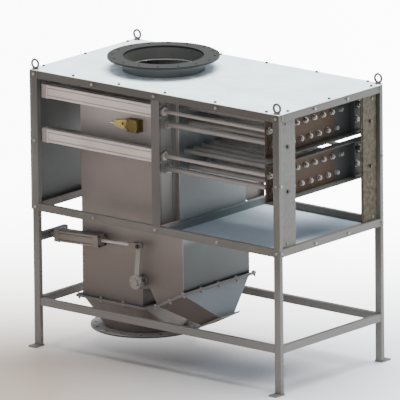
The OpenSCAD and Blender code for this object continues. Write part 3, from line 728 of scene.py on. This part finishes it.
class Metalwork:
    """Gathers small turned, hexagonal and bent pieces into one mesh.

    Places are in metres, as the frame gives them; sizes are in millimetres.
    """

    def __init__(self, sides: int = 24) -> None:
        """Starts an empty mesh.

        Args:
            sides: the number of points round each turned piece.
        """
        self.sides = sides
        self.mesh = bmesh.new()
        self.numbers: dict[Surface, int] = {}

    def face(self, loop: Row, surface: Surface) -> None:
        """Adds a face, numbering its finish at its first use."""
        number = self.numbers.setdefault(surface, len(self.numbers))
        self.mesh.faces.new(loop).material_index = number

    def ring(self, height: float, radius: float, flats: float = 0.0) -> list[Vector]:
        """Gives the points of one section, cut by the flats of a hexagon if there are any.

        Args:
            height: its place along the axis.
            radius: its radius, or 0 for one point on the axis.
            flats: the width over the hexagon's flats.

        Returns:
            The points in order round the axis.
        """
        points = []
        for i in range(self.sides if radius else 1):
            angle = math.tau * i / self.sides
            off = math.fmod(angle, math.radians(60)) - math.radians(30)
            reach = min(radius, flats / 2 / math.cos(off)) if flats else radius
            points.append(Vector((reach * math.cos(angle), reach * math.sin(angle), height)))
        return points

    def turned(
        self, sections: Sections, at: Vector, axis: Vector, surface: Surface, turn: float = 0.0
    ) -> None:
        """Adds a piece that is turned, hexagonal or both.

        Args:
            sections: height, radius and, for a hexagon, flats of its sections along the axis.
            at: where height 0 lies.
            axis: its direction.
            surface: its finish.
            turn: degrees that it is turned about its axis.
        """
        aim = axis.normalized().to_track_quat("Z", "Y").to_matrix().to_4x4()
        spin = Matrix.Rotation(math.radians(turn), 4, "Z")
        place = Matrix.Translation(at) @ aim @ spin @ Matrix.Scale(MM, 4)
        rows = [
            [self.mesh.verts.new(place @ point) for point in self.ring(*section)]
            for section in sections
        ]
        for low, high in zip(rows, rows[1:]):
            self.join(low, high, surface)

    def join(self, low: Row, high: Row, surface: Surface) -> None:
        """Joins two sections by faces.

        Args:
            low: the points of one section, or its one point on the axis.
            high: those of the next.
            surface: the finish.
        """
        size = max(len(low), len(high))
        for i in range(size):
            k = (i + 1) % size
            if len(high) == 1:
                loop = [low[i], low[k], high[0]]
            elif len(low) == 1:
                loop = [low[0], high[k], high[i]]
            else:
                loop = [low[i], low[k], high[k], high[i]]
            self.face(loop, surface)

    def bolt(
        self, at: Vector, axis: Vector, size: Size, turn: float = 0.0,
        surface: Surface = Surface.ZINC, proud: float = 0.0,
    ) -> None:
        """Adds a washer with a bolt's head, or with a nut where the thread stands proud.

        Args:
            at: the seat's centre.
            axis: outward from the seat.
            size: the thread.
            turn: degrees that the hexagon is turned.
            surface: the finish.
            proud: how far the thread stands past the nut.
        """
        thread = size.value
        self.turned(thread.disc(), at, axis, surface)
        seat = at + axis.normalized() * thread.washer_t * MM
        top = thread.nut_and_end(proud) if proud else thread.hexagon()
        self.turned(top, seat, axis, surface, turn)

    def slab(
        self, outline: Sequence[Pair], thick: float, at: Vector, across: Vector,
        out: Vector, surface: Surface, edge: float = 0.6,
    ) -> None:
        """Adds a flat plate with broken edges.

        Args:
            outline: its corners in order, in its own X and Y.
            thick: its thickness along its own Z.
            at: where its origin lies.
            across: where its own X points.
            out: where its own Z points.
            surface: its finish.
            edge: the width of the broken edge.
        """
        axes = Matrix((across, out.cross(across), out)).transposed().to_4x4()
        place = Matrix.Translation(at) @ axes @ Matrix.Scale(MM, 4)
        centre = sum((Vector(corner) for corner in outline), Vector((0, 0))) / len(outline)
        rows = []
        for height, inset in ((0, edge), (edge, 0), (thick - edge, 0), (thick, edge)):
            row = []
            for corner in outline:
                off = Vector(corner) - centre
                spot = centre + off * (1 - inset / off.length)
                row.append(self.mesh.verts.new(place @ Vector((*spot, height))))
            rows.append(row)
        for low, high in zip(rows, rows[1:]):
            self.join(low, high, surface)
        for loop in (rows[0][::-1], rows[-1]):
            self.face(loop, surface)

    def bead(self, start: Vector, end: Vector, radius: float) -> None:
        """Adds a weld bead whose ripples lie as the torch left them.

        Args:
            start: one end of the seam.
            end: the other.
            radius: the bead's radius.
        """
        run = (end - start).length / MM
        ripples = max(4, int(run / RIPPLE))
        sections = [(0.0, 0.0)]
        for i in range(ripples):
            wide = radius * (1.0 + SWELL * math.sin(SWELL_PHASE * i))
            near, far = (run * (i + part) / ripples for part in RIPPLE_ENDS)
            sections += [(near, NARROW * wide), (far, wide)]
        self.turned([*sections, (run, 0.0)], start, end - start, Surface.WELD)

    def done(self, name: str, body: str) -> None:
        """Makes the object, dresses it and says what it rides on.

        Args:
            name: the piece's name.
            body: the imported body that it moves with.
        """
        bmesh.ops.recalc_face_normals(self.mesh, faces=self.mesh.faces)
        data = bpy.data.meshes.new(name)
        self.mesh.to_mesh(data)
        self.mesh.free()
        for surface in self.numbers:
            data.materials.append(paint(surface))
        data.shade_smooth()
        data.set_sharp_from_angle(angle=math.radians(SHARP_DEG))
        piece = bpy.data.objects.new(name, data)
        bpy.context.scene.collection.objects.link(piece)
        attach(piece, body)
        LOG.info("%s: %d faces on %s", name, len(data.polygons), body)


def between(low: float, high: float, share: float) -> float:
    """Gives the place at a share of the way from one value to another."""
    return low + (high - low) * share


def in_box(name: str, *shares: float) -> Vector:
    """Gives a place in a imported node's box by shares of its X, Y and Z, or else its centre."""
    low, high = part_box(name)
    return Vector([between(*ends) for ends in zip(low, high, shares or (0.5, 0.5, 0.5))])


def radial(degrees: float) -> Vector:
    """Gives the direction at an angle from the right, in the upright plane along the machine."""
    turn = math.radians(degrees)
    return Vector((math.cos(turn), 0, math.sin(turn)))


def pattern(first: Vector, second: Vector) -> list[Vector]:
    """Gives a rectangle's four corners from its half widths."""
    return [first * one + second * two for one, two in product((-1, 1), repeat=2)]


@dataclass
class CoverScrews:
    """Screws of the cover sheet, in a row along each edge."""

    inset: float = 17.0
    long_shares: Shares = (0.17, 0.355, 0.54, 0.74, 0.943)
    end_shares: Shares = (0.11, 0.5, 0.9)

    def build(self) -> None:
        """Seats every screw on the sheet."""
        work = Metalwork()
        low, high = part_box("top_cover")
        inset = self.inset * MM
        spots = [
            (between(low.x, high.x, share), y)
            for share, y in product(self.long_shares, (low.y + inset, high.y - inset))
        ]
        spots += [
            (x, between(low.y, high.y, share))
            for share, x in product(self.end_shares, (low.x + inset, high.x - inset))
        ]
        for turn, (x, y) in zip(count(23, 23), spots):
            work.bolt(Vector((x, y, high.z)), UP, Size.M8, turn, Surface.BLACK)
        work.done("cover_screws", "machine")


@dataclass
class FrameBolts:
    """Bolts that hold sheets to the tube frame, the lip of its strips and its welds."""

    rail_shares: Shares = (0.2368, 0.5, 0.7632)
    end_shares: Shares = (1 / 3, 2 / 3)
    panel_shares: Shares = (0.03, 1 / 3, 2 / 3, 0.97)
    strip_heights: Shares = (0.03, 0.97)
    strip_sides: Shares = (0.045, 0.955)
    strip_turn: float = 12.0
    lip_inset: float = 114.0
    lip_gap: float = 0.1
    lip_edge: float = 0.3
    lip_outline: tuple[Pair, ...] = (
        (0, 0), (0, 34), (-2.5, 34), (-2.5, 2.5), (-5, 2.5), (-5, 0),
    )
    bead_radius: float = 2.2
    bead_clear: float = 3.0
    bead_sides: int = 10

    def build(self) -> None:
        """Makes the bolts, the lip and the beads."""
        self.rails()
        self.posts()
        self.strips()
        self.welds()

    def rails(self) -> None:
        """Seats bolts on the outer faces of the top and middle rails and on the end panel."""
        work = Metalwork()
        turns = count(17, 17)
        for name in ("top_long_rails", "middle_long_rails"):
            for share in self.rail_shares:
                turn = next(turns)
                work.bolt(in_box(name, share, 0, 0.5), FRONT, Size.M8, turn)
                work.bolt(in_box(name, share, 1, 0.5), BACK, Size.M8, turn)
        ends = "top_end_rails", "middle_end_rails"
        for name, share in product(ends, self.end_shares):
            work.bolt(in_box(name, 1, share, 0.5), RIGHT, Size.M8, next(turns))
        for name, share in product(ends, self.panel_shares):
            spot = in_box("left_end_panel", 0, share, 0)
            spot.z = in_box(name).z
            work.bolt(spot, LEFT, Size.M8, next(turns))
        work.done("rail_bolts", "machine")

    def posts(self) -> None:
        """Seats bolts on the upper halves of the four legs."""
        work = Metalwork()
        below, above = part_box("middle_long_rails")[1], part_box("top_long_rails")[0]
        halfway = (below.z + above.z) / 2
        levels = in_box("middle_long_rails").z, halfway, in_box("top_long_rails").z
        turns = count(29, 29)
        for name, out in (("front_legs", FRONT), ("back_legs", BACK)):
            low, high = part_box(name)
            face = low.y if out is FRONT else high.y
            half = (above.x - low.x) / 2
            for level in levels:
                turn = next(turns)
                for x in (low.x + half, high.x - half):
                    work.bolt(Vector((x, face, level)), out, Size.M8, turn)
            for level in levels[:2]:
                spot = Vector((high.x, in_box(name).y, level))
                work.bolt(spot, RIGHT, Size.M8, next(turns))
        work.done("post_bolts", "machine")

    def strips(self) -> None:
        """Seats the end strips' dark screws, in line with the guide rods, and folds their lip."""
        work = Metalwork()
        low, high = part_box("right_end_strips")
        for name in ("upper_guide_rods", "lower_guide_rods"):
            rod_low, rod_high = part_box(name)
            half = (rod_high.z - rod_low.z) / 2
            for y in (rod_low.y + half, rod_high.y - half):
                spot = Vector((high.x, y, rod_low.z + half))
                work.bolt(spot, RIGHT, Size.M10, self.strip_turn, Surface.BLACK)
        for up, side in product(self.strip_heights, self.strip_sides):
            spot = in_box("right_end_strips", 1, side, up)
            work.turned(M6_CAP, spot, RIGHT, Surface.ZINC)
        work.done("strip_screws", "machine")
        lip = Metalwork()
        foot = Vector((low.x - self.lip_gap * MM, high.y - self.lip_inset * MM, low.z))
        tall = (high.z - low.z) / MM
        lip.slab(self.lip_outline, tall, foot, RIGHT, UP, Surface.STRIP, self.lip_edge)
        lip.done("strip_lip", "machine")

    def welds(self) -> None:
        """Lays a bead down each seam between a rail's end and a leg, clear of both edges."""
        work = Metalwork(self.bead_sides)
        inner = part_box("front_legs")[1].y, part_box("back_legs")[0].y
        clear = UP * self.bead_clear * MM
        for run, level in product(("long", "end"), ("top", "middle", "lower")):
            low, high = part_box(f"{level}_{run}_rails")
            seams = (low.y, high.y, *inner) if run == "long" else (low.y, high.y)
            for x, y in product((low.x, high.x), seams):
                start, end = Vector((x, y, low.z)) + clear, Vector((x, y, high.z)) - clear
                work.bead(start, end, self.bead_radius)
        work.done("frame_welds", "machine")


@dataclass
class DuctSeals:
    """Lipped strips that close the gaps between the duct and the two dividers."""

    thick: float = 4.0
    face: float = 21.0
    gap: float = 0.3
    lip_away: float = 3.5
    lip_radius: float = 3.0

    def build(self) -> None:
        """Stands a coated strip with a rounded lip in each gap."""
        work = Metalwork()
        for name, wall, sign in (
            ("front_divider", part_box("duct_front_wall")[0].y, -1),
            ("back_divider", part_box("duct_back_wall")[1].y, 1),
        ):
            low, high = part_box(name)
            far = high.y if sign < 0 else low.y
            start, end = sorted((wall + sign * self.gap * MM, far))
            wide, tall = (end - start) / MM, (high.z - low.z) / MM
            foot = Vector((high.x - self.face * MM, start, low.z))
            outline = [(0, 0), (wide, 0), (wide, tall), (0, tall)]
            work.slab(outline, self.thick, foot, BACK, RIGHT, Surface.DIVIDER)
            foot.x += self.thick / 2 * MM
            foot.y = wall + sign * self.lip_away * MM
            lip = [(0, 0), (0.5, self.lip_radius), (tall - 0.5, self.lip_radius), (tall, 0)]
            work.turned(lip, foot, UP, Surface.DIVIDER)
        work.done("duct_seals", "machine")


@dataclass
class RimBolts:
    """Bolts and nuts of the two bolted rims under the duct."""

    chute_axis: Sequence[float]
    pitch: float = 143.0
    edge: float = 12.5
    rim_t: float = 6.0
    corner_inset: float = 9.0
    proud: float = 5.0
    nut_turn: float = 11.0
    slope_shares: Shares = (0.0, 0.5, 1.0)
    end_shares: Shares = (0.25, 0.5, 0.75)

    def build(self) -> None:
        """Bolts the product rim, which is level, and the reject rim, which slopes."""
        low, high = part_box("hopper_rim")
        edge, thick = self.edge * MM, high.z - low.z
        near, far, start = low.y + edge, high.y - edge, low.x + edge
        steps = range(int((high.x - low.x) / MM / self.pitch))
        level = [(start + i * self.pitch * MM, y) for y, i in product((near, far), steps)]
        level += [(start, between(near, far, share)) for share in self.end_shares]
        tops = [Vector((x, y, high.z + thick)) for x, y in level]
        self.rim("product_rim_bolts", tops, DOWN, 2 * thick / MM)

        low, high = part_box("chute_rim")
        down = Vector(self.chute_axis).normalized()
        slope = Vector((-down.z, 0, down.x))
        edge, thick = self.corner_inset * MM, self.rim_t * MM
        near, far = low.y + edge, high.y - edge
        run = (high.x - low.x - down.x * thick) / slope.x - edge
        corner = Vector((low.x, 0, low.z)) - UP * down.z * thick - down * thick
        sloped = [
            (between(edge, run, share), y) for share, y in product(self.slope_shares, (near, far))
        ]
        sloped += [(run, between(near, far, share)) for share in self.end_shares]
        tops = [corner + slope * away + BACK * y for away, y in sloped]
        self.rim("reject_rim_bolts", tops, down, 2 * self.rim_t)

    def rim(self, name: str, tops: Iterable[Vector], down: Vector, grip: float) -> None:
        """Seats bolts on the upper face of a rim and their nuts on the lower one.

        Args:
            name: the piece's name.
            tops: the seats of the heads.
            down: direction from the heads to the nuts.
            grip: thickness between them.
        """
        work = Metalwork()
        for turn, top in zip(count(13, 13), tops):
            work.bolt(top, -down, Size.M8, turn)
            seat = top + down * grip * MM
            work.bolt(seat, down, Size.M8, turn + self.nut_turn, proud=self.proud)
        work.done(name, "machine")


@dataclass
class DrawerNuts:
    """Nuts, washers, pads and ribs at the end plate of one magnet drawer."""

    level: str
    web: float = 4.0
    core_d: float = 25.0
    rod_d: float = 28.0
    piston_d: float = 62.0
    long_row: int = 7
    pad_w: float = 64.0
    pad_h: float = 104.0
    pad_t: float = 3.0
    rib_t: float = 5.0
    rib_deep: float = 30.0
    rib_away: float = 42.0
    rib_bevel: float = 4.0
    core_proud: float = 4.4
    rod_proud: float = 3.0
    guide_proud: float = 1.0
    rod_turn: float = 20.0
    guide_turn: float = 8.0

    def build(self) -> None:
        """Seats the nuts of the cores, the piston rods and the guide rods."""
        work = Metalwork()
        low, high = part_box(f"{self.level}_tray")
        face = low.x + self.web * MM
        for turn, (y, z) in zip(count(37, 37), self.core_ends()):
            seat = Vector((face, y, z))
            work.bolt(seat, RIGHT, Size.M12_WIDE, turn, proud=self.core_proud)
        for y, z in self.rod_ends("piston", self.piston_d):
            seat = Vector((face, y, z))
            work.bolt(seat, RIGHT, Size.M12_PLATE, self.rod_turn, proud=self.rod_proud)
        for y, z in self.rod_ends("guide", self.rod_d):
            seat = Vector((face + self.pad_t * MM, y, z))
            work.bolt(seat, RIGHT, Size.M12_PLATE, self.guide_turn, proud=self.guide_proud)
        work.done(f"{self.level}_drawer_nuts", f"{self.level}_drawer")
        self.plates(Vector((face, 0, low.z)), high.z)

    def plates(self, foot: Vector, top: float) -> None:
        """Adds a pad under each guide rod's nut and an upright rib beside it.

        Args:
            foot: the end plate's outer face and the tray's lower edge.
            top: the height of the tray's upper edge.
        """
        work = Metalwork()
        wide, high = self.pad_w / 2, self.pad_h / 2
        pad = [(-wide, -high), (wide, -high), (wide, high), (-wide, high)]
        tall, deep, bevel = (top - foot.z) / MM - 2 * self.web, self.rib_deep, self.rib_bevel
        rib = [(0, 0), (deep, bevel), (deep, tall - bevel), (0, tall)]
        for y, z in self.rod_ends("guide", self.rod_d):
            drop = (z - foot.z) / MM - high - self.web
            centre = Vector((foot.x, y, z - min(drop, 0.0) * MM))
            work.slab(pad, self.pad_t, centre, BACK, RIGHT, Surface.TRAY)
            away = self.rib_away if y < 0 else -self.rib_away
            stand = Vector((0, y + (away + self.rib_t / 2) * MM, self.web * MM)) + foot
            work.slab(rib, self.rib_t, stand, RIGHT, FRONT, Surface.TRAY)
        work.done(f"{self.level}_drawer_pads", f"{self.level}_drawer")

    def core_ends(self) -> Iterable[Pair]:
        """Gives the cores' places: a long row over a row with one fewer.

        Returns:
            Y and Z of each core.
        """
        low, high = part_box(f"{self.level}_cores")
        half = self.core_d / 2 * MM
        pitch = (high.y - low.y - 2 * half) / (self.long_row - 1)
        for i in range(self.long_row):
            yield low.y + half + i * pitch, high.z - half
        for i in range(self.long_row - 1):
            yield low.y + half + (i + 0.5) * pitch, low.z + half

    def rod_ends(self, kind: str, wide: float) -> Iterable[Pair]:
        """Gives the places of a drawer's two piston rods or guide rods.

        Args:
            kind: piston or guide.
            wide: the largest diameter on the rod.

        Returns:
            Y and Z of each rod.
        """
        low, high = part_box(f"{self.level}_{kind}_rods")
        half = wide / 2 * MM
        for y in (low.y + half, high.y - half):
            yield y, (low.z + high.z) / 2


@dataclass
class CylinderFittings:
    """Screws, ports and mounting screws of one drive cylinder."""

    name: str
    cap: float = 45.0
    screw_off: float = 28.25
    panel_face: float = 18.0
    panel_t: float = 4.0

    def build(self) -> None:
        """Seats the cap screws, the port fittings and the screws on the divider."""
        work = Metalwork()
        low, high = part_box(self.name)
        centre = in_box(self.name)
        divider, inward = ("front_divider", BACK) if centre.y < 0 else ("back_divider", FRONT)
        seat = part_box(divider)[1].x - self.panel_face * MM
        off = self.screw_off * MM
        for turn, aside in zip(count(19, 19), pattern(BACK * off, UP * off)):
            _, y, z = centre + aside
            work.turned(M6_CAP, Vector((low.x, y, z)), LEFT, Surface.ZINC, turn)
            work.bolt(Vector((seat, y, z)), RIGHT, Size.M6, turn)
        half = self.cap / 2 * MM
        for x in (low.x + half, seat - self.panel_t * MM - half):
            port = Vector((x, centre.y, centre.z)) + inward * (high.y - low.y) / 2
            work.turned(Profile.PORT.value, port, inward, Surface.NICKEL)
        work.done(f"{self.name}_fittings", "machine")


@dataclass
class VibratorFittings:
    """Screws, air fitting and outlet of the pneumatic vibrator on the duct wall."""

    block_w: float = 72.0
    block_inset: float = 5.0
    screw_inset: float = 9.0
    nozzle_deep: float = 3.0
    mouth_at: tuple[float, float, float] = (-22.0, 0.0, 5.0)
    plug_at: tuple[float, float, float] = (-14.0, 0.0, -12.0)
    inlet_off: float = 4.0

    def build(self) -> None:
        """Makes the fittings."""
        work = Metalwork()
        low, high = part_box("vibrator")
        centre = in_box("vibrator")
        left = high.x - (self.block_inset + self.block_w) * MM
        block = Vector((left + self.block_w / 2 * MM, low.y, centre.z))
        across = RIGHT * (self.block_w / 2 - self.screw_inset) * MM
        upward = UP * ((high.z - low.z) / 2 - self.screw_inset * MM)
        for turn, off in zip(count(31, 31), pattern(across, upward)):
            work.turned(M6_CAP, block + off, FRONT, Surface.ZINC, turn)
        nose = Vector((left, low.y + self.nozzle_deep * MM, centre.z))
        for profile, off, surface in (
            (Profile.MOUTH, self.mouth_at, Surface.GOLD),
            (Profile.BORE, self.mouth_at, Surface.BLACK),
            (Profile.PLUG, self.plug_at, Surface.GOLD),
        ):
            work.turned(profile.value, nose + Vector(off) * MM, FRONT, surface)
        work.done("vibrator_screws", "machine")
        inlet = Metalwork()
        off = self.inlet_off * MM
        end = Vector((low.x, centre.y - off, centre.z - off))
        inlet.turned(Profile.INLET.value, end, LEFT, Surface.NICKEL)
        inlet.done("vibrator_inlet", "machine")


@dataclass(frozen=True)
class Lever:
    """Sizes of the flap's lever, which leans while it rests."""

    long: float = 190.0
    hub_d: float = 72.0
    lean_deg: float = 5.7

    def hub(self) -> Vector:
        """Gives the centre of its hub."""
        low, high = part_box("flap_lever")
        return Vector(((low.x + high.x) / 2, (low.y + high.y) / 2, low.z + self.hub_d / 2 * MM))


@dataclass
class LeverFittings:
    """Clamp, screws and end cap on the flap's lever, and screws of its bearings."""

    lever: Lever = Lever()
    screw_circle: float = 50.0
    screws_deg: tuple[float, ...] = (200.0, 340.0)
    clamp_deg: float = 20.0
    clamp_sunk: float = 1.5
    clamp_boss: float = 6.0
    clamp_turn: float = 15.0
    bearing_inset: float = 6.0
    bearing_degs: tuple[float, ...] = (45.0, 135.0, 225.0, 315.0)

    def build(self) -> None:
        """Makes the fittings of the lever's hub and clamp, and of both bearings."""
        work = Metalwork()
        hub = self.lever.hub()
        face = Vector((hub.x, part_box("flap_lever")[0].y, hub.z))
        for angle in self.screws_deg:
            off = radial(angle - self.lever.lean_deg) * self.screw_circle / 2 * MM
            work.turned(M6_CAP, face + off, FRONT, Surface.ZINC)
        end = Vector((hub.x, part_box("flap_shaft")[0].y, hub.z))
        work.turned(Profile.HUB_CAP.value, end, FRONT, Surface.LEVER)
        out = radial(self.clamp_deg)
        seat = hub + out * (self.lever.hub_d / 2 - self.clamp_sunk) * MM
        work.turned(Profile.BOSS.value, seat, out, Surface.LEVER)
        seat += out * self.clamp_boss * MM
        work.bolt(seat, out, Size.M8, self.clamp_turn, Surface.RUST)
        work.done("lever_hub_screws", "flap")
        self.bearings(hub)

    def bearings(self, hub: Vector) -> None:
        """Adds four screws round each bearing.

        Args:
            hub: a place on the shaft's centre line.
        """
        work = Metalwork()
        low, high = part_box("flap_bearings")
        reach = (high.x - low.x) / 2 - self.bearing_inset * MM
        faces = (low.y, FRONT), (high.y, BACK)
        for (y, out), angle in product(faces, self.bearing_degs):
            spot = Vector((hub.x, y, hub.z)) + radial(angle) * reach
            work.turned(M5_CAP, spot, out, Surface.ZINC, angle)
        work.done("bearing_screws", "machine")


@dataclass
class ActuatorFittings:
    """Pins, clips, screws and nuts of the flap's air actuator."""

    lever: Lever = Lever()
    pin_inset: float = 15.0
    back: float = 20.0
    long: float = 288.0
    port_inset: float = 16.0
    screw_off: float = 23.5
    fork_l: float = 57.0
    fork_half: float = 17.0
    nut_gap: float = 0.2

    def build(self) -> None:
        """Makes the fittings of the barrel, of the fork and of the rear pin."""
        hub = self.lever.hub()
        pin = hub + radial(90 - self.lever.lean_deg) * self.lever.long * MM
        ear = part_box("actuator_bracket")[1].x - self.pin_inset * MM
        rear = Vector((ear, hub.y, in_box("actuator_bracket").z))
        along = (pin - rear).normalized()
        self.barrel(rear, along)
        self.fork(pin, along)
        work = Metalwork()
        for out in (FRONT, BACK):
            spot = rear + out * self.fork_half * MM
            work.turned(Profile.SNAP_RING.value, spot, out, Surface.ZINC)
        work.done("rear_pin_rings", "machine")

    def barrel(self, rear: Vector, along: Vector) -> None:
        """Adds cap screws at both ends and two air fittings.

        Args:
            rear: the rear pin's centre.
            along: direction to the lever pin.
        """
        work = Metalwork()
        up = BACK.cross(along)
        off = self.screw_off * MM
        for end, out in ((self.back, -along), (self.back + self.long, along)):
            for aside in pattern(BACK * off, up * off):
                spot = rear + along * end * MM + aside
                work.turned(M6_CAP, spot, out, Surface.BLACK)
        low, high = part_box("actuator_barrel")
        half = (high.y - low.y) / 2
        inset = self.port_inset
        for end in (self.back + inset, self.back + self.long - inset):
            port = rear + along * end * MM + BACK * half
            work.turned(Profile.PORT.value, port, BACK, Surface.NICKEL)
        work.done("actuator_barrel_screws", "actuator")

    def fork(self, pin: Vector, along: Vector) -> None:
        """Adds the pin's head and clip, and the lock nut behind the fork.

        Args:
            pin: the pin's centre.
            along: direction from the rear pin.
        """
        work = Metalwork()
        centre = Vector((pin.x, in_box("actuator_rod").y, pin.z))
        for out in (FRONT, BACK):
            spot = centre + out * self.fork_half * MM
            work.turned(Profile.PIN_END.value, spot, out, Surface.BLACK)
        foot = centre - along * (self.fork_l - self.nut_gap) * MM
        work.turned(Profile.LOCK_NUT.value, foot, -along, Surface.BLACK)
        work.done("fork_pin", "actuator_ram")


@dataclass
class EyeCollars:
    """Collars and washers under the four lifting eyes."""

    seat: float = 1430.0

    def build(self, mounts: Iterable[Mapping[str, Any]]) -> None:
        """Seats one collar under each eye.

        Args:
            mounts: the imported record's mounts, which say where the eyes are.
        """
        work = Metalwork()
        for mount in mounts:
            if mount["name"].startswith("lifting_eye"):
                x, y, _ = mount["pos_m"]
                spot = Vector((x, y, self.seat * MM))
                work.turned(Profile.COLLAR.value, spot, UP, Surface.EYE)
        work.done("eye_collars", "machine")


def corners(low: Vector, high: Vector) -> list[list[float]]:
    """Gives a box as plain lists of numbers."""
    return [list(low), list(high)]


def main() -> None:
    """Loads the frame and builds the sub-assemblies."""
    logging.basicConfig(level=logging.INFO, format="%(message)s")
    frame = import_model()
    Studio().build()
    Dressing().build(frame["nodes"])
    mounts = frame["record"]["mounts"]
    reject = next(mount for mount in mounts if mount["name"] == "reject_outlet")
    CoverScrews().build()
    FrameBolts().build()
    DuctSeals().build()
    RimBolts(reject["axis"]).build()
    for level in ("upper", "lower"):
        DrawerNuts(level).build()
    for side, level in product(("front", "back"), ("upper", "lower")):
        CylinderFittings(f"{side}_{level}_cylinder").build()
    VibratorFittings().build()
    LeverFittings().build()
    ActuatorFittings().build()
    EyeCollars().build(mounts)


if __name__ == "__main__":
    main()
